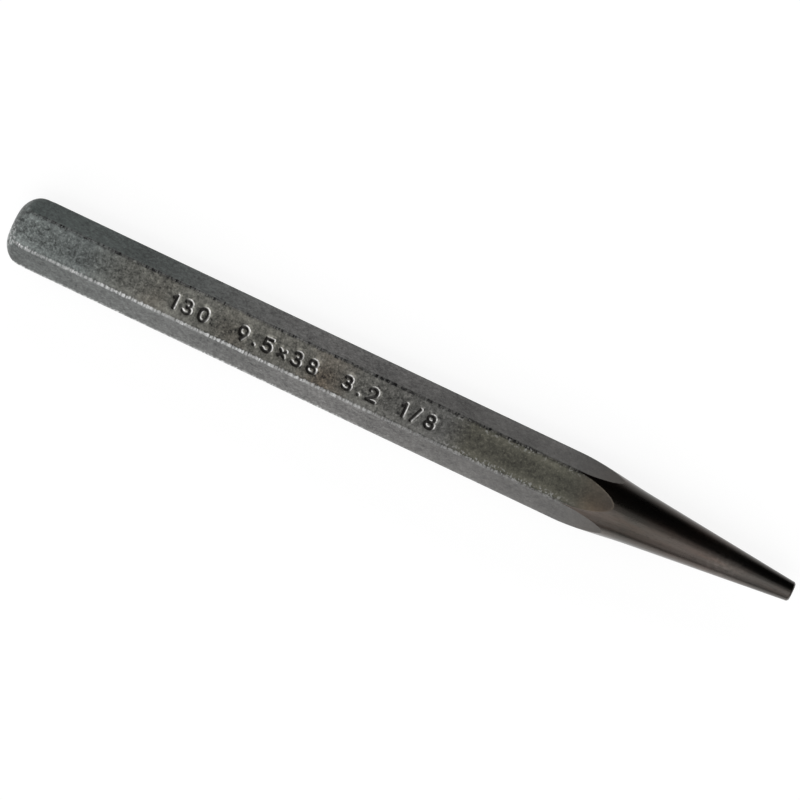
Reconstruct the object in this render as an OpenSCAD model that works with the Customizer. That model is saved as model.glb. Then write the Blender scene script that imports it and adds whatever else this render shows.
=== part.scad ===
// Solid taper punch, ground from one length of hexagonal tool steel and lying on one of its flats.
// The struck head faces -X, the point faces +X and the middle of the bar's length is at X = 0.

/* [Bar] */
// Size of the hexagonal bar, measured across its flats
across_flats = 9.525; // [6:0.005:16]
// Overall length, from the struck face to the tip
overall_length = 130.2; // [90:0.1:200]
// Depth taken off the sharp corners where two flats meet
ridge_break = 0.04; // [0.02:0.01:0.3]

/* [Head] */
// Diameter of the flat middle of the struck face
struck_face_d = 3.4; // [1:0.1:5]
// How far the rounding of the head reaches back along the ridges
head_height = 2.7; // [0.5:0.1:3.5]

/* [Point] */
// Length of the ground point, from the ridges to the tip
point_length = 37.7; // [20:0.1:60]
// Diameter of the tip before its edge is broken
tip_d = 3.08; // [1:0.01:5]
// Bevel round the edge of the tip
tip_break = 0.2; // [0.05:0.05:0.45]
// Length over which the point runs out into the ridges
runout_length = 12; // [2:0.5:18]

/* [Hidden] */
$fn = 96;

steel_colour = [0.37, 0.38, 0.36];
bar_sides = 6;
side_angle = 360 / bar_sides;
// Each end of the raw bar stands this far past the turned outline that trims it
overrun = 1;

// Radii from the axis of the bar to its flats, its sharp corners and its broken ridges
flat_r = across_flats / 2;
corner_r = flat_r / cos(side_angle / 2);
ridge_r = corner_r - ridge_break;

// Places along the axis
head_x = -overall_length / 2;
tip_x = overall_length / 2;
point_x = tip_x - point_length;

// The head's arc starts level with the struck face and crosses the ridges head_height behind it
struck_r = struck_face_d / 2;
head_reach = ridge_r - struck_r;
head_arc_r = (head_reach * head_reach + head_height * head_height) / (2 * head_height);

// The point is a straight cone whose line crosses the ridges at point_x
tip_r = tip_d / 2;
taper = (ridge_r - tip_r) / point_length;
runout_drop = taper * runout_length;
runout_steps = 12;

// Share of the run-out's drop at a share of its length: level at the ridges, in line with the cone
function drop_share(length_share) = length_share * length_share * (2 - length_share);

// Run-out from the ridges to the cone, as points of radius and place along the axis
runout_outline = [
    for (step = [0 : runout_steps])
        let (length_share = step / runout_steps)
            [ridge_r - runout_drop * drop_share(length_share), point_x + runout_length * length_share]
];

// Half outline with a square head: ridges, run-out, cone and the bevelled tip
module point_outline() {
    polygon(concat(
        [[0, head_x], [ridge_r, head_x]],
        runout_outline,
        [[tip_r + taper * tip_break, tip_x - tip_break], [tip_r - tip_break, tip_x], [0, tip_x]]
    ));
}

// Half outline with a rounded head: struck face, arc and a straight side clear of the ridges
module head_outline() {
    translate([0, head_x])
        square([struck_r, overall_length]);
    translate([struck_r, head_x + head_arc_r])
        circle(r = head_arc_r);
    translate([0, head_x + head_arc_r])
        square([struck_r + head_arc_r, overall_length - head_arc_r]);
}

// Everything the lathe and the grinder leave, as one turned solid along Z
module turned_bar() {
    rotate_extrude()
        intersection() {
            point_outline();
            head_outline();
        }
}

// Raw hexagonal bar along Z, with a flat towards +X and one towards -X
module hex_bar() {
    rotate([0, 0, side_angle / 2])
        translate([0, 0, head_x - overrun])
            cylinder(h = overall_length + 2 * overrun, r = corner_r, $fn = bar_sides);
}

module punch() {
    color(steel_colour)
        translate([0, 0, flat_r])
            rotate([0, 90, 0])
                intersection() {
                    hex_bar();
                    turned_bar();
                }
}

punch();
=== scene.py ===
import math
import random
from types import SimpleNamespace

import bmesh
import bpy
import numpy as np
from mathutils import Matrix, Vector


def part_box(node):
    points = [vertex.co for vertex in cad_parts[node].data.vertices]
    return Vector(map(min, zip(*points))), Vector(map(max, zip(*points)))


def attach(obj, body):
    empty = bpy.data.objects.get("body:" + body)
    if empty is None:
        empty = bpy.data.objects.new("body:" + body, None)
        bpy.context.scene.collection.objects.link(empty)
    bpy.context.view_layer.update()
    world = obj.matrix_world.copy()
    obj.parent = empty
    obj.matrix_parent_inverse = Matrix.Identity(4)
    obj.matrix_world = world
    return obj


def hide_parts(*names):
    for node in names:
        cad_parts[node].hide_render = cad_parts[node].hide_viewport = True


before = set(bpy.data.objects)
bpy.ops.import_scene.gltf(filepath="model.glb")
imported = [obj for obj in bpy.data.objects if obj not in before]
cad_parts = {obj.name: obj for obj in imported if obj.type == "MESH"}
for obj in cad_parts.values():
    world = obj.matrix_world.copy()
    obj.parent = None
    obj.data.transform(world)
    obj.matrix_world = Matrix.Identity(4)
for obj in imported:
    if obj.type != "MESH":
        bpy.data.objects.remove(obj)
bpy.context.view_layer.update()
print("frame loaded")

mm = 0.001
hair = 0.001 * mm
boxLow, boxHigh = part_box("punch")
axisHeight = (boxLow.z + boxHigh.z) / 2


# Node sockets that can be written into plain sums

class Field:
    def __init__(self, tree, socket):
        self.tree = tree
        self.socket = socket

    def do(self, operation, *others):
        made = self.tree.nodes.new("ShaderNodeMath")
        made.operation = operation
        for slot, value in zip(made.inputs, (self,) + others):
            plug(slot, value)
        return Field(self.tree, made.outputs[0])

    def __add__(self, other):
        return self.do("ADD", other)

    def __radd__(self, other):
        return self.do("ADD", other)

    def __sub__(self, other):
        return self.do("SUBTRACT", other)

    def __rsub__(self, other):
        return self.do("MULTIPLY", -1.0).do("ADD", other)

    def __mul__(self, other):
        return self.do("MULTIPLY", other)

    def __truediv__(self, other):
        return self.do("DIVIDE", other)

    def within(self, low, high):
        return self.do("MAXIMUM", low).do("MINIMUM", high)


def plug(slot, value):
    if isinstance(value, Field):
        value.tree.links.new(value.socket, slot)
    else:
        slot.default_value = value


def addNode(tree, kind, settings=None, **feeds):
    made = tree.nodes.new(kind)
    for name, value in (settings or {}).items():
        setattr(made, name, value)
    for name, value in feeds.items():
        plug(made.inputs[name.replace("_", " ")], value)
    return made


def out(made, name=0):
    return Field(made.id_data, made.outputs[name])


# Punch: a hexagonal bar trimmed by a turned outline, in columns round the bar and stations along it

barSides = 6
halfSide = math.pi / barSides  # angle from the middle of a flat to its ridge
punchSizes = {
    "Overall Length": boxHigh.x - boxLow.x - hair,
    "Across Flats": boxHigh.z - boxLow.z,
    "Across Ridges": boxHigh.y - boxLow.y,
    "Struck Face": 3.4 * mm,
    "Head Height": 2.7 * mm,
    "Point Length": 37.7 * mm,
    "Tip Width": 3.08 * mm,
    "Tip Bevel": 0.2 * mm,
    "Runout Length": 12 * mm,
    "Head Softness": 0.7 * mm,
    "Point Softness": 0.02 * mm,
    "Tip Softness": 0.06 * mm,
}
punchCounts = {
    "Ridge Columns": 5,
    "Flat Columns": 16,
    "Face Stations": 5,
    "Head Stations": 16,
    "Shank Stations": 220,
    "Point Stations": 60,
    "Bevel Stations": 4,
    "Tip Stations": 3,
}


def makePunchTree():
    tree = bpy.data.node_groups.new("shapePunch", "GeometryNodeTree")
    tree.interface.new_socket(name="Geometry", in_out="OUTPUT", socket_type="NodeSocketGeometry")
    entry = tree.nodes.new("NodeGroupInput")
    for names, kind in ((punchSizes, "NodeSocketFloat"), (punchCounts, "NodeSocketInt")):
        for name in names:
            tree.interface.new_socket(name=name, in_out="INPUT", socket_type=kind)
    for name in ("Blackened", "Ground"):
        tree.interface.new_socket(name=name, in_out="INPUT", socket_type="NodeSocketMaterial")

    def size(name):
        return out(entry, name)

    # Counts of columns and stations, and a grid with one vertex for each pair
    ridgeColumns = size("Ridge Columns")
    flatColumns = size("Flat Columns")
    sideColumns = flatColumns + ridgeColumns * 2
    headStart = size("Face Stations")
    shankStart = headStart + size("Head Stations")
    pointStart = shankStart + size("Shank Stations")
    bevelStart = pointStart + size("Point Stations")
    tipStart = bevelStart + size("Bevel Stations")
    stations = tipStart + size("Tip Stations")
    columns = sideColumns * barSides
    grid = addNode(tree, "GeometryNodeMeshGrid", Size_X=stations, Size_Y=columns,
                   Vertices_X=stations + 1, Vertices_Y=columns + 1)
    place = addNode(tree, "ShaderNodeSeparateXYZ", Vector=out(addNode(tree, "GeometryNodeInputPosition")))
    rawStation = out(place, "X") + stations * 0.5
    station = rawStation.do("ROUND")
    column = (out(place, "Y") + columns * 0.5).do("ROUND")

    def zoneShare(start, count):
        return ((station - start) / count).within(0.0, 1.0)

    # Hexagon with rounded ridges: where a column meets it, seen along the bar
    flatRadius = size("Across Flats") * 0.5
    ridgeRadius = size("Across Ridges") * 0.5
    sharpness = 1 / math.cos(halfSide)
    ridgeRound = (flatRadius * sharpness - ridgeRadius) / (sharpness - 1)
    side = (column / sideColumns).do("FLOOR")
    step = column - side * sideColumns
    ridgeTurn = (step / ridgeColumns - 1).within(-1.0, 0.0)
    ridgeTurn = ridgeTurn + ((step - ridgeColumns - flatColumns) / ridgeColumns).within(0.0, 1.0)
    ridgeAngle = ridgeTurn * halfSide
    flatShare = ((step - ridgeColumns) / flatColumns).within(0.0, 1.0)
    flatReach = (flatRadius - ridgeRound) * math.tan(halfSide)
    across = ridgeRound * ridgeAngle.do("SINE") - flatReach * (flatShare * math.pi).do("COSINE")
    outward = flatRadius - ridgeRound + ridgeRound * ridgeAngle.do("COSINE")
    hexRadius = (across * across + outward * outward).do("SQRT")
    angle = side * (2 * halfSide) + across.do("ARCTAN2", outward)

    # Head: an arc from the struck face, which crosses the hexagon headTurn round its centre
    headEnd = size("Overall Length") * -0.5
    tipEnd = size("Overall Length") * 0.5
    struckRadius = size("Struck Face") * 0.5
    headReach = ridgeRadius - struckRadius
    headHeight = size("Head Height")
    headArc = (headReach * headReach + headHeight * headHeight) / (headHeight * 2)
    headTurn = ((hexRadius - struckRadius) / headArc).do("ARCSINE")

    # Point: a cone that runs out into the ridges. Its drop at a share of the run-out is share^2 (2 - share),
    # so the share at which it crosses the hexagon is a root of that cubic, written with cosines
    pointEnd = tipEnd - size("Point Length")
    tipRadius = size("Tip Width") * 0.5
    taper = (ridgeRadius - tipRadius) / size("Point Length")
    runout = size("Runout Length")
    dropShare = (ridgeRadius - hexRadius) / (taper * runout)
    cubicTurn = (1 - dropShare * (27 / 16)).within(-1.0, 1.0).do("ARCCOSINE")
    crossShare = (((cubicTurn - 2 * math.pi) / 3).do("COSINE") * 2 + 1) * (2 / 3)

    # Place along the bar: each zone adds its own stretch once its stations begin
    headCross = headEnd + headArc * (1 - headTurn.do("COSINE"))
    pointCross = pointEnd + runout * crossShare
    bevel = size("Tip Bevel")
    headStretch = (zoneShare(headStart, size("Head Stations")) * (math.pi / 2)).do("SINE") * headTurn
    shankShare = (1 - (zoneShare(shankStart, size("Shank Stations")) * math.pi).do("COSINE")) * 0.5
    pointShare = (1 - (zoneShare(pointStart, size("Point Stations")) * math.pi).do("COSINE")) * 0.5
    along = headEnd + headArc * (1 - headStretch.do("COSINE"))
    along = along + (pointCross - headCross) * shankShare
    along = along + (tipEnd - bevel - pointCross) * pointShare
    along = along + bevel * zoneShare(bevelStart, size("Bevel Stations"))

    # Radius there: the least of the hexagon, the head's arc, the point and the tip's bevel
    toCentre = (headArc - (along - headEnd)).do("MAXIMUM", 0.0)
    arcRadius = struckRadius + (headArc * headArc - toCentre * toCentre).do("MAXIMUM", 0.0).do("SQRT")
    arcRadius = arcRadius + (along - headEnd - headArc).do("MAXIMUM", 0.0)
    pastStart = along - pointEnd
    runShare = (pastStart / runout).within(0.0, 1.0)
    coneRadius = ridgeRadius - taper * runout * runShare * runShare * (2 - runShare)
    coneRadius = coneRadius - taper * (pastStart - runout).do("MAXIMUM", 0.0)
    bevelRadius = tipRadius - bevel + (tipEnd - along)
    radius = hexRadius.do("SMOOTH_MIN", arcRadius, size("Head Softness"))
    radius = radius.do("SMOOTH_MIN", coneRadius, size("Point Softness"))
    radius = radius.do("SMOOTH_MIN", bevelRadius, size("Tip Softness"))
    radius = radius * (station / headStart).within(0.0, 1.0)
    radius = radius * (1 - zoneShare(tipStart, size("Tip Stations")))

    # Marks for the finishes, in mm: in from the edge of a flat, past the head's edge and short of the point
    edgeGap = flatReach * (1 - (flatShare * math.pi).do("COSINE").do("ABSOLUTE"))
    edgeGap = edgeGap - ridgeRound * ridgeAngle.do("ABSOLUTE")
    marked = out(grid, "Mesh")
    for name, gap in (("edgeGap", edgeGap), ("headGap", along - headCross), ("pointGap", pointCross - along)):
        stored = addNode(tree, "GeometryNodeStoreNamedAttribute", {"data_type": "FLOAT", "domain": "POINT"},
                         Geometry=marked, Name=name, Value=gap / mm)
        marked = out(stored)
    isGround = addNode(tree, "FunctionNodeCompare", {"data_type": "FLOAT", "operation": "GREATER_THAN"},
                       A=rawStation, B=pointStart)  # faces from the point's crossing onwards
    stored = addNode(tree, "GeometryNodeStoreNamedAttribute", {"data_type": "BOOLEAN", "domain": "FACE"},
                     Geometry=marked, Name="ground", Value=out(isGround))

    spot = addNode(tree, "ShaderNodeCombineXYZ", X=along, Y=radius * angle.do("SINE"),
                   Z=radius * angle.do("COSINE") + flatRadius)
    moved = addNode(tree, "GeometryNodeSetPosition", Geometry=out(stored), Position=out(spot))
    closed = addNode(tree, "GeometryNodeMergeByDistance", Geometry=out(moved), Distance=hair)
    smooth = addNode(tree, "GeometryNodeSetShadeSmooth", Geometry=out(closed))
    real = addNode(tree, "GeometryNodeRealizeInstances", Geometry=out(smooth))
    black = addNode(tree, "GeometryNodeSetMaterial", Geometry=out(real), Material=size("Blackened"))
    wasGround = addNode(tree, "GeometryNodeInputNamedAttribute", {"data_type": "BOOLEAN"}, Name="ground")
    ground = addNode(tree, "GeometryNodeSetMaterial", Geometry=out(black), Selection=out(wasGround),
                     Material=size("Ground"))
    leave = tree.nodes.new("NodeGroupOutput")
    tree.links.new(ground.outputs[0], leave.inputs["Geometry"])
    return tree


def settle(piece):
    depsgraph = bpy.context.evaluated_depsgraph_get()
    mesh = bpy.data.meshes.new_from_object(piece.evaluated_get(depsgraph))
    piece.modifiers.clear()
    while not mesh.materials[0]:
        mesh.materials.pop(index=0)
    piece.data = mesh


def makePunch(blackened, ground):
    punch = bpy.data.objects.new("taperPunch", bpy.data.meshes.new("taperPunch"))
    bpy.context.scene.collection.objects.link(punch)
    tree = makePunchTree()
    modifier = punch.modifiers.new("shapePunch", "NODES")
    modifier.node_group = tree
    values = {**punchSizes, **punchCounts, "Blackened": blackened, "Ground": ground}
    for item in tree.interface.items_tree:
        if item.in_out == "INPUT":
            modifier[item.identifier] = values[item.name]
    settle(punch)
    print("punch shaped:", len(punch.data.vertices), "vertices")
    return punch


# Finishes, made of fields over the surface: noises, marks from the mesh and places on the bar

def newFinish(name):
    finish = bpy.data.materials.new(name)
    finish.use_nodes = True
    tree = finish.node_tree
    return finish, tree, tree.nodes["Principled BSDF"]


def objectSpot(tree, stretch=(1, 1, 1)):
    coords = addNode(tree, "ShaderNodeTexCoord")
    mapped = addNode(tree, "ShaderNodeMapping", Vector=out(coords, "Object"), Scale=[s / mm for s in stretch])
    return out(mapped)


def noise(tree, size, detail, roughness, stretch=(1, 1, 1)):
    made = addNode(tree, "ShaderNodeTexNoise", Vector=objectSpot(tree, stretch), Scale=1 / size,
                   Detail=detail, Roughness=roughness)
    return out(made, "Fac")


def swing(field):
    return field - 0.5  # a noise about its middle


def ramp(value, low, high):
    made = addNode(value.tree, "ShaderNodeMapRange", {"interpolation_type": "SMOOTHSTEP"},
                   Value=value, From_Min=low, From_Max=high)
    return out(made)


def fade(value, low, high):
    return ramp(value, high, low)


def between(share, first, second):
    return share * (second - first) + first


def blend(share, first, second):
    made = addNode(share.tree, "ShaderNodeMix", {"data_type": "RGBA"})
    plug(made.inputs[0], share)
    plug(made.inputs[6], first)  # its two colours, past the sockets for numbers and vectors
    plug(made.inputs[7], second)
    return Field(share.tree, made.outputs[2])


def shade(colour, factor):
    made = addNode(colour.tree, "ShaderNodeVectorMath", {"operation": "SCALE"})
    plug(made.inputs[0], colour)
    plug(made.inputs["Scale"], factor)
    return Field(colour.tree, made.outputs[0])


def tinted(colour, factors):
    made = addNode(colour.tree, "ShaderNodeVectorMath", {"operation": "MULTIPLY"})
    plug(made.inputs[0], colour)
    plug(made.inputs[1], factors)
    return Field(colour.tree, made.outputs[0])


def tintAlong(along, tints):
    first, last = min(tints), max(tints)
    made = addNode(along.tree, "ShaderNodeValToRGB", Fac=(along - first) / (last - first))
    stops = made.color_ramp.elements
    while len(stops) < len(tints):
        stops.new(0.5)
    for stop, (x, tint) in zip(stops, sorted(tints.items())):
        stop.position = (x - first) / (last - first)
        stop.color = (*tint, 1)
    return out(made)


def mark(tree, name):
    return out(addNode(tree, "ShaderNodeAttribute", {"attribute_name": name}), "Fac")


def addRelief(tree, shader, height, depth):
    bump = addNode(tree, "ShaderNodeBump", Height=height, Distance=depth)
    tree.links.new(bump.outputs[0], shader.inputs["Normal"])


# Blackened finish of the shank and head. Places along the bar are mm from its middle, and gaps are in mm.
# A pair for ramp or fade says where it begins and ends, and a pair for between gives its two values

# Size in mm, detail and roughness of each noise and, where it is drawn out, its pace along X, Y and Z
blackNoises = {
    "grain": (0.8, 3, 0.65),
    "speck": (0.27, 2, 0.6),
    "patch": (7.0, 3, 0.6),
    "streak": (0.3, 2, 0.5, (0.06, 1, 1)),
    "glint": (0.4, 2, 0.5),
    "fleck": (0.5, 3, 0.6),
    "bead": (0.45, 2, 0.6, (1, 0, 0)),
    "dash": (2.4, 2, 0.6, (1, 0.4, 0)),
}
barMarks = ("edgeGap", "headGap", "pointGap", "stampDepth", "stampRim", "stampSide")
barZones = {
    "ridge": (math.radians(27), math.radians(33)),  # from upright, round the ridges of the wide flats
    "headEdge": (-0.8, 0.1),  # all round the head the finish is that of a wide flat
    "shank": (-1.8, -0.2),
    "middle": (-1.5, 1.5),  # from the near side, -Y, to the far side
    "beads": (0.38, 0.58),
    "dashes": (0.38, 0.6),
}


def readBar(tree):
    bar = SimpleNamespace()
    place = addNode(tree, "ShaderNodeSeparateXYZ", Vector=objectSpot(tree))
    bar.along = out(place, "X")
    bar.aside = out(place, "Y")
    for name, values in blackNoises.items():
        setattr(bar, name, noise(tree, *values))
    for name in barMarks:
        setattr(bar, name, mark(tree, name))
    rise = (out(place, "Z") - axisHeight / mm).do("ABSOLUTE")
    turn = bar.aside.do("ABSOLUTE").do("ARCTAN2", rise)
    bar.wide = fade(turn, *barZones["ridge"]).do("MAXIMUM", fade(bar.headGap, *barZones["headEdge"]))
    bar.near = fade(bar.aside, *barZones["middle"])
    bar.shank = ramp(bar.headGap, *barZones["shank"])
    bar.beads = ramp(bar.bead, *barZones["beads"])
    bar.dashes = ramp(bar.dash, *barZones["dashes"])
    return bar


# Bare metal along the ridges in beads and dashes, and flecks on the head's rim: wear, and a painted highlight
# where it is kept mostly to the lit near side
wear = {
    "byHead": 0.88,  # share of bare metal, before its losses further along
    "lateFade": (-16, 4),
    "lateLoss": 0.68,
    "pointFade": (16, 28),
    "pointLoss": 0.1,
    # the far side gets a tenth of the bare metal: painted highlight on the lit near side
    "farAndNear": (0.1, 1.0),
    "ragged": 1.1,  # how far the worn edge strays
    "fine": 0.4,
    "sideReach": 0.2,
    "edge": (-0.12, 0.22),
    "beads": (0.1, 1.08),
    "dashes": (0.6, 1.2),
    "crown": (-0.9, -0.3),
    "crownFlecks": (0.48, 0.62),
    "crownShare": 0.55,
    "tint": (0.72, 0.725, 0.72, 1),
}


def ridgeWearAndHighlight(bar):
    rubbedAndLit = wear["byHead"] - ramp(bar.along, *wear["lateFade"]) * wear["lateLoss"]
    rubbedAndLit = rubbedAndLit - ramp(bar.along, *wear["pointFade"]) * wear["pointLoss"]
    # the far side keeps a tenth of it: painted highlight on the lit near side
    rubbedAndLit = rubbedAndLit * between(bar.near, *wear["farAndNear"])
    edge = bar.edgeGap + swing(bar.fleck) * wear["ragged"] + swing(bar.speck) * wear["fine"]
    edge = edge - (1 - bar.wide) * wear["sideReach"]
    baredAndLit = fade(edge, *wear["edge"]) * bar.shank * rubbedAndLit
    baredAndLit = baredAndLit * between(bar.beads, *wear["beads"]) * between(bar.dashes, *wear["dashes"])
    # flecks on the near half of the head's rim only: painted highlight
    crown = fade(bar.headGap, *wear["crown"]) * ramp(bar.glint, *wear["crownFlecks"]) * bar.near
    return baredAndLit.do("MAXIMUM", crown * wear["crownShare"])


# Lighter bands inside the edges, partly painted highlight and strongest on the lit near side, a painted
# highlight round the point's tongue, painted shade as a dark strip and line on the far ridges, and chips
edgeLook = {
    # lighter band, partly painted highlight: it is stronger on the lit near side
    "bandAndHighlight": (0.05, 0.4),  # inside every edge of the flats
    "bandFade": (0.4, 1.9),
    "byPoint": (10, 22),
    "byPointFade": (25, 29),
    "bandSides": (0.4, 1.0),
    "bandFlats": (0.15, 1.0),
    "bandGain": (0.6, 0.7),
    # painted highlight round the tongue's edge
    "tongueHighlight": (0.1, 0.45),  # round the end that a flat reaches into the point
    "tongueGain": (0.8, 0.24),
    # painted shade beside the far ridges
    "shadeStrip": (-0.05, 0.1),  # a little darker, beside the line
    "stripFade": (0.1, 0.6),
    "stripLoss": 0.25,
    # painted shade: a dark line on the far ridges
    "line": (0.0, 0.25),  # on the ridge itself
    "lineLoss": (0.9, 0.3),
    "lineDashes": (0.4, 1.35),
    "lineLate": (-10, 4),
    "lineLateGain": 0.1,
    "chips": (0.53, 0.61),  # from the last figure to the point
    "chipFade": (0.45, 0.9),
    "chipStart": (5, 10),
    "chipEnd": (25, 30),
    "chipFar": 0.8,
    "chipShare": 0.75,
    "chipTint": (0.30, 0.30, 0.29, 1),
}


def edgeHighlightAndShade(bar):
    byPoint = ramp(bar.along, *edgeLook["byPoint"]) * fade(bar.along, *edgeLook["byPointFade"])
    bandAndHighlight = ramp(bar.edgeGap, *edgeLook["bandAndHighlight"]) * fade(bar.edgeGap, *edgeLook["bandFade"])
    # stronger on the lit near side: partly painted highlight
    bandAndHighlight = bandAndHighlight * between(bar.near.do("MAXIMUM", byPoint), *edgeLook["bandSides"])
    bandAndHighlight = bandAndHighlight * between(bar.wide, *edgeLook["bandFlats"]) * between(byPoint, *edgeLook["bandGain"])
    # painted highlight round the tongue, where its edge catches the light
    tongueHighlight = fade(bar.pointGap, *edgeLook["tongueHighlight"]) * between(bar.near, *edgeLook["tongueGain"]) * bar.wide
    far = (1 - bar.near) * bar.shank
    # painted shade on the far side: a darker strip and a dark line on the ridge
    shadeStrip = ramp(bar.edgeGap, *edgeLook["shadeStrip"]) * fade(bar.edgeGap, *edgeLook["stripFade"]) * far * bar.wide
    line = fade(bar.edgeGap, *edgeLook["line"]) * far * between(bar.dashes, *edgeLook["lineDashes"])
    lineLoss = between(bar.beads, *edgeLook["lineLoss"])
    lineLoss = lineLoss - ramp(bar.along, *edgeLook["lineLate"]) * edgeLook["lineLateGain"]
    return bandAndHighlight + tongueHighlight - shadeStrip * edgeLook["stripLoss"] - line * lineLoss


def edgeChips(bar):
    chips = ramp(bar.glint, *edgeLook["chips"]) * fade(bar.edgeGap, *edgeLook["chipFade"]) * bar.wide
    chips = chips * bar.near.do("MAXIMUM", bar.dashes * edgeLook["chipFar"])
    chips = chips * ramp(bar.along, *edgeLook["chipStart"]) * fade(bar.along, *edgeLook["chipEnd"])
    return chips * edgeLook["chipShare"]


# Brown stains left by the heat on the wide flats: place along the bar, reach, strength and darkness
stains = ((-40, 5, 0.3, 0.25), (-29, 4, 0.3, 0.25), (-12.5, 5, 0.9, 0.25), (33, 5, 0.9, -0.25))
stainLook = {
    "drift": 8,
    "farAndNear": (0.45, 1.0),
    "darkSide": (-1.0, 0.6),
    "darkDrift": 2,
    "tint": (1.12, 0.94, 0.80),
}


def heatStains(bar):
    brown = 0.0
    dark = 0.0
    for x, reach, strength, darkness in stains:
        away = (bar.along + swing(bar.patch) * stainLook["drift"] - x).do("ABSOLUTE")
        stain = fade(away, 0, reach) * strength
        brown = stain + brown
        dark = stain * darkness + dark
    brown = brown * between(bar.near, *stainLook["farAndNear"])
    dark = dark * fade(bar.aside + swing(bar.patch) * stainLook["darkDrift"], *stainLook["darkSide"])
    return brown * bar.wide, dark * bar.wide


# Figures: a painted highlight on the rim and wall on the side that faces the light, black scale on the bottom
# and painted shade on the far wall
stampLook = {
    "lit": (0.4, 0.85),
    "rim": (0.2, 0.9),
    "rimGrain": (0.36, 0.6),
    "rimGain": (-0.1, 1.0),
    "litWall": (0.05, 0.3),
    "wallEnd": (0.7, 0.92),
    "wallFlecks": (0.4, 0.58),
    "wallShare": (0.35, 1.0),
    "bottom": (0.6, 0.88),
    "unlitWall": (0.12, 0.5),
    "scale": (0.36, 0.52),  # black scale, broken by flecks
    "scaleShare": (0.75, 1.0),
    "litWallTint": (0.86, 0.85, 0.83, 1),
    "scaleAndShadeTint": (0.008, 0.007, 0.006, 1),
}


def stampedFigures(bar):
    lit = ramp(bar.stampSide, *stampLook["lit"])
    # the rim is lightened on the lit side only: painted highlight
    rim = ramp(bar.stampRim, *stampLook["rim"]) * ramp(bar.grain, *stampLook["rimGrain"])
    # the lit wall is painted bright: bare metal with a painted highlight
    litWall = ramp(bar.stampDepth, *stampLook["litWall"]) * fade(bar.stampDepth, *stampLook["wallEnd"]) * lit
    litWall = litWall * between(ramp(bar.fleck, *stampLook["wallFlecks"]), *stampLook["wallShare"])
    # the far, unlit wall is painted dark: painted shade; the bottom is black scale
    scaleAndShade = ramp(bar.stampDepth, *stampLook["unlitWall"]) * (1 - lit)
    scaleAndShade = scaleAndShade.do("MAXIMUM", ramp(bar.stampDepth, *stampLook["bottom"]))
    scaleAndShade = scaleAndShade * between(ramp(bar.fleck, *stampLook["scale"]), *stampLook["scaleShare"])
    return rim * between(lit, *stampLook["rimGain"]), litWall, scaleAndShade


# Tints of the blackening at places along the bar, on the wide flats and on the sides. The sides are mostly
# tinted lighter than the wide flats to make up for the light on them: their colour with painted light
flatTints = {
    -64: (0.134, 0.148, 0.143),
    -53: (0.092, 0.101, 0.098),
    -46: (0.101, 0.101, 0.090),
    -18: (0.097, 0.094, 0.082),
    7: (0.092, 0.091, 0.086),
    11: (0.077, 0.074, 0.058),
    27: (0.068, 0.066, 0.051),
    34: (0.060, 0.053, 0.045),
}
litSideTints = {
    -62: (0.126, 0.135, 0.131),
    -12: (0.176, 0.172, 0.167),
    28: (0.132, 0.128, 0.122),
    34: (0.108, 0.098, 0.089),
}
blackLook = {
    "coarseFade": (-6, 16),
    "coarseLoss": 0.35,
    "smoothFade": (24, 34),
    "smoothLoss": 0.4,
    "grain": (2.0, 2.8),
    "speck": (1.4, 2.0),
    "streak": 0.3,
    "patch": 0.9,
    # bright specks in the grain: painted glints
    "paintedGlints": (0.56, 0.72),
    "paintedGlintGain": (0.15, 0.6),
    "level": 0.95,
    "rowStart": (-40, -32),  # along the figures it grows lighter towards the far side
    "rowEnd": (-10, -5),
    "rowSlope": 0.12,
    "head": (-1.4, -0.3),
    "headTone": (0.9, 1.0),
    # painted shade: the far side flats by the head are tinted darker, with a slight teal
    "farFlatShade": (2.5, 3.0),  # a darker side by the head
    "farFlatShadeEnd": (-48, -18),
    "farFlatShadeTint": (0.71, 0.78, 0.77),
    "metal": (0.45, 1.0),
    "rough": 0.42,
    "roughStreak": 0.12,
    "roughGrain": 0.2,
    "roughBare": 0.12,
    "relief": 0.03 * mm,
    "reliefGrain": 0.65,
    "reliefSpeck": 0.35,
    "reliefStreak": 0.1,
}


def blackeningTone(bar):
    coarse = 1 - ramp(bar.along, *blackLook["coarseFade"]) * blackLook["coarseLoss"]
    coarse = coarse - ramp(bar.along, *blackLook["smoothFade"]) * blackLook["smoothLoss"]
    mottleAndGlints = swing(bar.grain) * between(bar.wide, *blackLook["grain"])
    mottleAndGlints = mottleAndGlints + swing(bar.speck) * between(bar.wide, *blackLook["speck"])
    # bright specks in the grain: painted glints
    mottleAndGlints = mottleAndGlints + ramp(bar.glint, *blackLook["paintedGlints"]) * between(bar.wide, *blackLook["paintedGlintGain"])
    row = ramp(bar.along, *blackLook["rowStart"]) * fade(bar.along, *blackLook["rowEnd"]) * bar.wide
    tone = mottleAndGlints * coarse + blackLook["level"]
    tone = tone + swing(bar.streak) * blackLook["streak"] + swing(bar.patch) * blackLook["patch"]
    return tone + row * bar.aside * blackLook["rowSlope"]


def blackeningTint(bar, brown):
    flatTint = tintAlong(bar.along, flatTints)
    flatTint = blend(brown, flatTint, tinted(flatTint, stainLook["tint"]))
    # the sides' colour with painted light: mostly lighter than the wide flats
    litSideTint = tintAlong(bar.along, litSideTints)
    # painted shade on the far side flats by the head
    farFlatShade = ramp(bar.aside, *blackLook["farFlatShade"]) * fade(bar.along, *blackLook["farFlatShadeEnd"])
    litSideTint = blend(farFlatShade * (1 - bar.wide), litSideTint, tinted(litSideTint, blackLook["farFlatShadeTint"]))
    return blend(bar.wide, litSideTint, flatTint)


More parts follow.
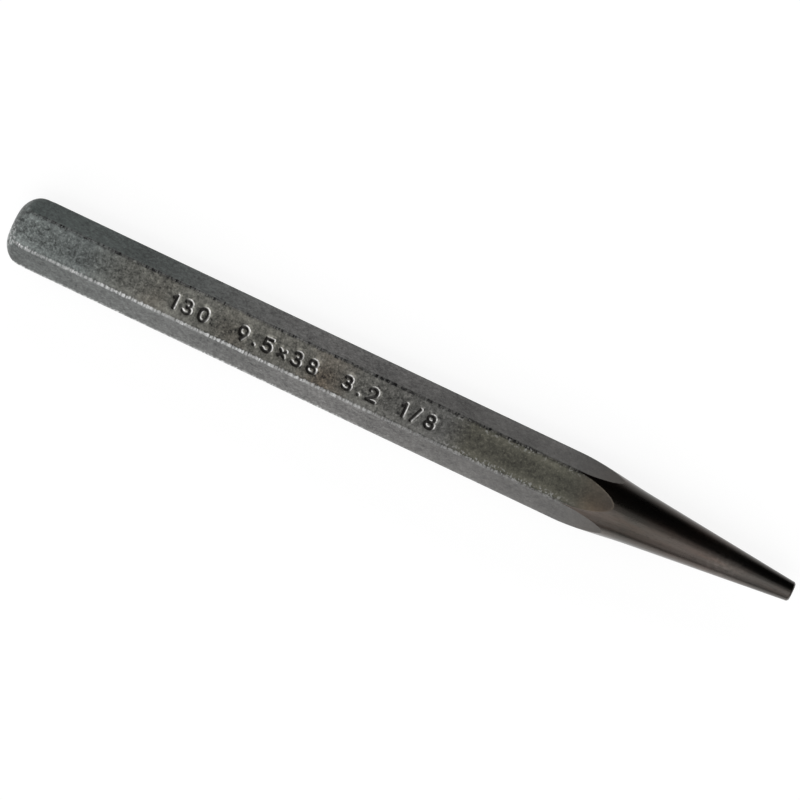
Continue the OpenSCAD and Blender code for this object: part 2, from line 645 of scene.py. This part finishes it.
def makeBlackened():
    finish, tree, shader = newFinish("blackenedSteel")
    bar = readBar(tree)
    wornAndHighlight = ridgeWearAndHighlight(bar)
    brown, dark = heatStains(bar)
    rim, litWall, scaleAndShade = stampedFigures(bar)
    # rim: painted highlight round the figures on their lit side
    tone = blackeningTone(bar) + edgeHighlightAndShade(bar) + rim - dark
    tone = tone * between(ramp(bar.headGap, *blackLook["head"]), *blackLook["headTone"])
    colour = shade(blackeningTint(bar, brown), tone)
    colour = blend(edgeChips(bar), colour, edgeLook["chipTint"])
    colour = blend(wornAndHighlight, colour, wear["tint"])
    # painted highlight on the lit walls of the figures, painted shade on their far walls, black scale in the
    # bottom
    colour = blend(litWall, colour, stampLook["litWallTint"])
    colour = blend(scaleAndShade, colour, stampLook["scaleAndShadeTint"])
    # bare metal of the ridges, kept to the lit near side, and of the lit walls of the figures: partly painted
    # highlight
    bareAndLit = wornAndHighlight.do("MAXIMUM", litWall)
    rough = blackLook["rough"] + bar.streak * blackLook["roughStreak"] - bareAndLit * blackLook["roughBare"]
    height = bar.grain * blackLook["reliefGrain"] + bar.speck * blackLook["reliefSpeck"]
    plug(shader.inputs["Base Color"], colour)
    plug(shader.inputs["Metallic"], between(bareAndLit, *blackLook["metal"]))
    plug(shader.inputs["Roughness"], rough + swing(bar.grain) * blackLook["roughGrain"])
    addRelief(tree, shader, height + bar.streak * blackLook["reliefStreak"], blackLook["relief"])
    print("blackened finish made")
    return finish


# Ground finish of the point: steel darkened by the heat, with fine rings and waves, under a film of oil

groundNoises = {
    "rings": (0.09, 3, 0.7, (1, 0, 0)),
    "wave": (1.6, 2, 0.5, (0.5, 1, 1)),
    "smear": (1.6, 3, 0.6, (0.15, 1, 1)),
    "scratch": (0.25, 3, 0.6, (0.08, 1, 1)),
    "pit": (0.45, 3, 0.7, (0.45, 1, 1)),
    "fleck": (0.8, 3, 0.6),
}
groundTints = {
    32: (0.125, 0.104, 0.090),
    38: (0.084, 0.076, 0.066),
    48: (0.106, 0.087, 0.076),
    60: (0.084, 0.077, 0.070),
}
groundLook = {
    "smears": (0.4, 0.7),
    "smearTint": (1.10, 0.98, 0.93),
    "scratchTone": (0.7, 1.3),
    "pits": (0.3, 0.45),
    "pitTone": (0.75, 1.0),
    "scuffPlace": 54,
    "scuffReach": 6,
    "scuffDrift": 6,
    "scuffFlecks": (0.42, 0.65),
    "scuffGain": (0.12, 0.52),
    "oil": 0.4,
    "oilRough": 0.2,
    "rough": 0.2,
    "roughSmear": 0.12,
    "roughScratch": 0.06,
    "roughScuff": 0.05,
    "ringDepth": 0.0006 * mm,
    "waveDepth": 0.008 * mm,
}


def makeGround():
    finish, tree, shader = newFinish("groundSteel")
    point = SimpleNamespace(**{name: noise(tree, *values) for name, values in groundNoises.items()})
    along = out(addNode(tree, "ShaderNodeSeparateXYZ", Vector=objectSpot(tree)), "X")
    colour = tintAlong(along, groundTints)
    smears = ramp(point.smear, *groundLook["smears"])
    colour = blend(smears, colour, tinted(colour, groundLook["smearTint"]))
    tone = between(point.scratch, *groundLook["scratchTone"])
    tone = tone * between(ramp(point.pit, *groundLook["pits"]), *groundLook["pitTone"])

    # A lighter and rougher patch where the point was scuffed
    away = (along + swing(point.smear) * groundLook["scuffDrift"] - groundLook["scuffPlace"]).do("ABSOLUTE")
    scuffed = fade(away, 0, groundLook["scuffReach"])
    gain = between(ramp(point.fleck, *groundLook["scuffFlecks"]), *groundLook["scuffGain"])
    tone = tone * (1 + scuffed * gain)
    rough = groundLook["rough"] + point.smear * groundLook["roughSmear"]
    rough = rough + point.scratch * groundLook["roughScratch"] + scuffed * groundLook["roughScuff"]
    height = point.rings * (groundLook["ringDepth"] / groundLook["waveDepth"]) + point.wave
    plug(shader.inputs["Base Color"], shade(colour, tone))
    plug(shader.inputs["Metallic"], 1.0)
    plug(shader.inputs["Roughness"], rough)
    plug(shader.inputs["Coat Weight"], groundLook["oil"])
    plug(shader.inputs["Coat Roughness"], groundLook["oilRough"])
    addRelief(tree, shader, height, groundLook["waveDepth"])
    print("ground finish made")
    return finish


# Plain size numbers stamped in the upper flat: length, bar and point, tip, and the tip in inches

stampSizes = {
    "height": 1.95 * mm,
    "across": -0.19 * mm,
    "strokeHalf": 0.24 * mm,
    "soften": 0.2 * mm,
    "depth": 0.18 * mm,
    "rim": 0.55 * mm,
    "lean": (0.75, 0.66),  # across the strokes, towards the wall that is lit
    "figureGap": 0.68,  # share of the height
    "panelReach": 0.6 * mm,
    "cuts": 7,
    "seed": 7,
    "tilt": 2.5,  # degrees, and the rest in shares of the height or of the depth
    "drop": 0.035,
    "leastForce": 0.82,
    "uneven": 0.5,
}
# Each group of figures and the place of its middle along the bar
stampRow = {
    "130": -35.3 * mm,
    "9.5x38": -20.7 * mm,
    "3.2": -7.0 * mm,
    "1/8": 2.6 * mm,
}


def arc(x, y, across, up, start, end, steps=14):
    turns = (math.radians(start + (end - start) * n / steps) for n in range(steps + 1))
    return [(x + across * math.cos(t), y + up * math.sin(t)) for t in turns]


# Width of each figure and its strokes, as shares of the figures' height
figureShares = {
    "0": (0.68, [arc(0.34, 0.5, 0.34, 0.5, 0, 360, 28)]),
    "1": (0.26, [[(0, 0.78), (0.24, 1), (0.24, 0)]]),
    "2": (0.66, [arc(0.33, 0.69, 0.32, 0.31, 170, -35) + [(0, 0), (0.66, 0)]]),
    "3": (0.66, [arc(0.31, 0.75, 0.28, 0.25, 150, -90) + arc(0.31, 0.26, 0.34, 0.26, 90, -150)]),
    "5": (0.66, [[(0.6, 1), (0.1, 1), (0.05, 0.54)] + arc(0.31, 0.32, 0.35, 0.32, 125, -145)]),
    "8": (0.66, [arc(0.33, 0.75, 0.27, 0.25, 0, 360, 22), arc(0.33, 0.26, 0.33, 0.26, 0, 360, 24)]),
    "9": (0.66, [arc(0.33, 0.68, 0.32, 0.32, 0, 360, 24) + [(0.62, 0.5), (0.3, 0)]]),
    ".": (0.1, [[(0.04, 0.02), (0.06, 0.04)]]),
    "/": (0.44, [[(0, -0.04), (0.44, 1.04)]]),
    "x": (0.46, [[(0, 0.2), (0.46, 0.66)], [(0, 0.66), (0.46, 0.2)]]),
}


def stampStrokes():
    chance = random.Random(stampSizes["seed"])
    strokes = []
    for word, middle in stampRow.items():
        gaps = stampSizes["figureGap"] * (len(word) - 1)
        pen = middle / stampSizes["height"] - (sum(figureShares[f][0] for f in word) + gaps) / 2
        for figure in word:
            width, shapes = figureShares[figure]
            tilt = math.radians(chance.uniform(-stampSizes["tilt"], stampSizes["tilt"]))
            drop = chance.uniform(-stampSizes["drop"], stampSizes["drop"])
            force = chance.uniform(stampSizes["leastForce"], 1.0)
            uneven = chance.uniform(-stampSizes["uneven"], stampSizes["uneven"])
            for shape in shapes:
                points = [(pen + x * math.cos(tilt) - y * math.sin(tilt),
                           y * math.cos(tilt) + x * math.sin(tilt) + drop) for x, y in shape]
                forces = [min(1.0, force + uneven * (x - width / 2)) for x, y in shape[1:]]
                strokes += [(*a, *b, f) for a, b, f in zip(points, points[1:], forces)]
            pen += width + stampSizes["figureGap"]
    lines = np.array(strokes)
    lines[:, (1, 3)] -= 0.5  # from the foot of the figures to their middle
    lines[:, :4] *= stampSizes["height"]
    lines[:, (1, 3)] += stampSizes["across"]
    return lines


def stampDepths(spots, lines):
    start = lines[:, :2]
    run = lines[:, 2:4] - start
    fromStart = spots[:, None, :] - start
    share = np.clip((fromStart * run).sum(2) / (run * run).sum(1), 0, 1)
    gap = np.linalg.norm(fromStart - share[:, :, None] * run, axis=2)
    soften = stampSizes["soften"]
    bite = np.clip((stampSizes["strokeHalf"] + soften - gap) / (2 * soften), 0, 1)
    depths = (bite * bite * (3 - 2 * bite) * lines[:, 4]).max(1)
    rims = np.clip(1 - (gap.min(1) - stampSizes["strokeHalf"] - soften) / stampSizes["rim"], 0, 1)
    nearest = gap.argmin(1)
    each = np.arange(len(spots))
    offset = fromStart[each, nearest] - share[each, nearest, None] * run[nearest]
    # side of each spot across its stroke, leaning to the lit wall, for the painted highlight and shade of the
    # walls
    sides = np.clip(0.5 + offset @ np.array(stampSizes["lean"]) / stampSizes["strokeHalf"] / 2, 0, 1)
    return depths, rims, sides


def stampNumbers(punch):
    lines = stampStrokes()
    reach = stampSizes["panelReach"]
    low = np.minimum(lines[:, :2], lines[:, 2:4]).min(0) - reach
    high = np.maximum(lines[:, :2], lines[:, 2:4]).max(0) + reach
    work = bmesh.new()
    work.from_mesh(punch.data)
    top = max(v.co.z for v in work.verts) - hair

    def inside(spot):
        return low[0] < spot.x < high[0] and low[1] < spot.y < high[1]

    def onPanel(face):
        return inside(face.calc_center_median()) and all(v.co.z > top for v in face.verts)

    edges = {edge for face in work.faces if onPanel(face) for edge in face.edges}
    bmesh.ops.subdivide_edges(work, edges=list(edges), cuts=stampSizes["cuts"], use_grid_fill=True)
    depthMark = work.verts.layers.float.new("stampDepth")
    rimMark = work.verts.layers.float.new("stampRim")
    sideMark = work.verts.layers.float.new("stampSide")
    panel = [v for v in work.verts if v.co.z > top and inside(v.co)]
    depths, rims, sides = stampDepths(np.array([v.co[:2] for v in panel]), lines)
    for vertex, depth, rim, side in zip(panel, depths, rims, sides):
        vertex.co.z -= depth * stampSizes["depth"]
        vertex[depthMark] = depth
        vertex[rimMark] = rim
        vertex[sideMark] = side
    work.to_mesh(punch.data)
    work.free()
    print("numbers stamped:", len(panel), "vertices")


sharpTurn = math.radians(40)  # edges that turn further than this stay crisp
punch = makePunch(makeBlackened(), makeGround())
stampNumbers(punch)
punch.data.set_sharp_from_angle(angle=sharpTurn)
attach(punch, "root")
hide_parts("punch")


# Stage: a white floor that keeps the shadow, panels overhead, at the -Y side and past the head, and two fills

stageSizes = {
    "floor": 6.0,
    "floorDiffuse": 0.16,
    "floorGlow": 0.86,
    # reach of the floor's full white in reflections on the near side; past it the reflection fades: painted
    # shade
    "reflectionReach": 25 * mm,
    "falloff": 20 * mm,
    "room": 0.006,
    "unseen": ("fill", "farFill"),
}
# Lamps by bearing from -Y towards -X and lean from overhead; reflections leave out those that are unseen
lamps = {
    "softbox": {"bearing": 0, "lean": 33, "distance": 1.2, "width": 2.0, "height": 0.94, "brightness": 1.0},
    "lowPanel": {"bearing": 0, "lean": 70, "distance": 1.2, "width": 2.0, "height": 0.70, "brightness": 0.65},
    "topStrip": {"bearing": 0, "lean": 0, "distance": 1.4, "width": 2.0, "height": 0.60, "brightness": 0.33},
    "headPanel": {"bearing": 90, "lean": 47, "distance": 1.2, "width": 1.6, "height": 1.6, "brightness": 0.9},
    "fill": {"bearing": 0, "lean": 45, "distance": 2.46, "width": 3.0, "height": 3.0, "brightness": 1.3},
    "farFill": {"bearing": 180, "lean": 70, "distance": 2.46, "width": 3.0, "height": 1.6, "brightness": 2.7},
}


def makeFloor():
    half = stageSizes["floor"] / 2
    corners = [(-half, -half, 0), (half, -half, 0), (half, half, 0), (-half, half, 0)]
    mesh = bpy.data.meshes.new("floor")
    mesh.from_pydata(corners, [], [(0, 1, 2, 3)])
    floor = bpy.data.objects.new("floor", mesh)
    bpy.context.scene.collection.objects.link(floor)

    # White to the camera. In reflections it fades to dark away from the punch, from its middle on the far
    # side and from 25 mm out on the near side: painted shade for the metal to reflect
    paint, tree, shader = newFinish("floorPaint")
    tree.nodes.remove(shader)
    path = addNode(tree, "ShaderNodeLightPath")
    coords = addNode(tree, "ShaderNodeTexCoord")
    place = addNode(tree, "ShaderNodeSeparateXYZ", Vector=out(coords, "Object"))
    past = out(place, "Y").do("MAXIMUM", out(place, "Y") * -1 - stageSizes["reflectionReach"]).do("MAXIMUM", 0.0)
    mirrored = (past / -stageSizes["falloff"]).do("EXPONENT")
    seen = out(path, "Is Camera Ray").do("MAXIMUM", out(path, "Is Glossy Ray") * mirrored)
    seen = seen.do("MAXIMUM", out(path, "Is Transmission Ray"))
    painted = seen.do("MAXIMUM", out(path, "Is Diffuse Ray"))
    diffuse = addNode(tree, "ShaderNodeBsdfDiffuse", Color=painted * stageSizes["floorDiffuse"])
    glow = addNode(tree, "ShaderNodeEmission", Strength=seen * stageSizes["floorGlow"])
    both = addNode(tree, "ShaderNodeAddShader")
    tree.links.new(diffuse.outputs[0], both.inputs[0])
    tree.links.new(glow.outputs[0], both.inputs[1])
    tree.links.new(both.outputs[0], tree.nodes["Material Output"].inputs["Surface"])
    mesh.materials.append(paint)


def makeLamp(name, bearing, lean, distance, width, height, brightness):
    lamp = bpy.data.lights.new(name, "AREA")
    lamp.shape = "RECTANGLE"
    lamp.size = width
    lamp.size_y = height
    lamp.energy = brightness * math.pi * width * height
    holder = bpy.data.objects.new(name, lamp)
    bpy.context.scene.collection.objects.link(holder)
    turn = math.radians(bearing)
    drop = math.radians(lean)
    toLamp = Vector((-math.sin(turn) * math.sin(drop), -math.cos(turn) * math.sin(drop), math.cos(drop)))
    holder.location = toLamp * distance
    holder.rotation_euler = (-toLamp).to_track_quat("-Z", "Y").to_euler()
    return holder


makeFloor()
for name, values in lamps.items():
    holder = makeLamp(name, **values)
    holder.visible_glossy = name not in stageSizes["unseen"]
room = bpy.data.worlds.new("room")
room.use_nodes = True
room.node_tree.nodes["Background"].inputs["Color"].default_value = (1, 1, 1, 1)
room.node_tree.nodes["Background"].inputs["Strength"].default_value = stageSizes["room"]
bpy.context.scene.world = room


# Camera: straight above the punch with a long lens, rolled so that the tip points down to the right

cameraView = {
    "distance": 0.8,
    "roll": 25.38,
    "pixelsPerMm": 6.61,
    "picture": 800,  # pixels
    "sensor": 36.0,  # mm
    "middle": (403.0, 407.65),
    "clipEnd": 20,
}


def makeCamera():
    view = bpy.data.cameras.new("camera")
    view.sensor_width = cameraView["sensor"]
    perMetre = cameraView["pixelsPerMm"] / mm
    view.lens = perMetre * cameraView["distance"] * cameraView["sensor"] / cameraView["picture"]
    view.clip_end = cameraView["clipEnd"]
    camera = bpy.data.objects.new("camera", view)
    bpy.context.scene.collection.objects.link(camera)
    roll = math.radians(cameraView["roll"])
    right = Vector((math.cos(roll), math.sin(roll), 0))
    up = Vector((-math.sin(roll), math.cos(roll), 0))
    rightBy, downBy = ((m - cameraView["picture"] / 2) / perMetre for m in cameraView["middle"])
    camera.location = up * downBy - right * rightBy + Vector((0, 0, axisHeight + cameraView["distance"]))
    camera.rotation_euler = (0, 0, roll)
    bpy.context.scene.camera = camera


makeCamera()
bpy.context.scene.view_settings.view_transform = "Standard"
print("stage, lamps and camera set")
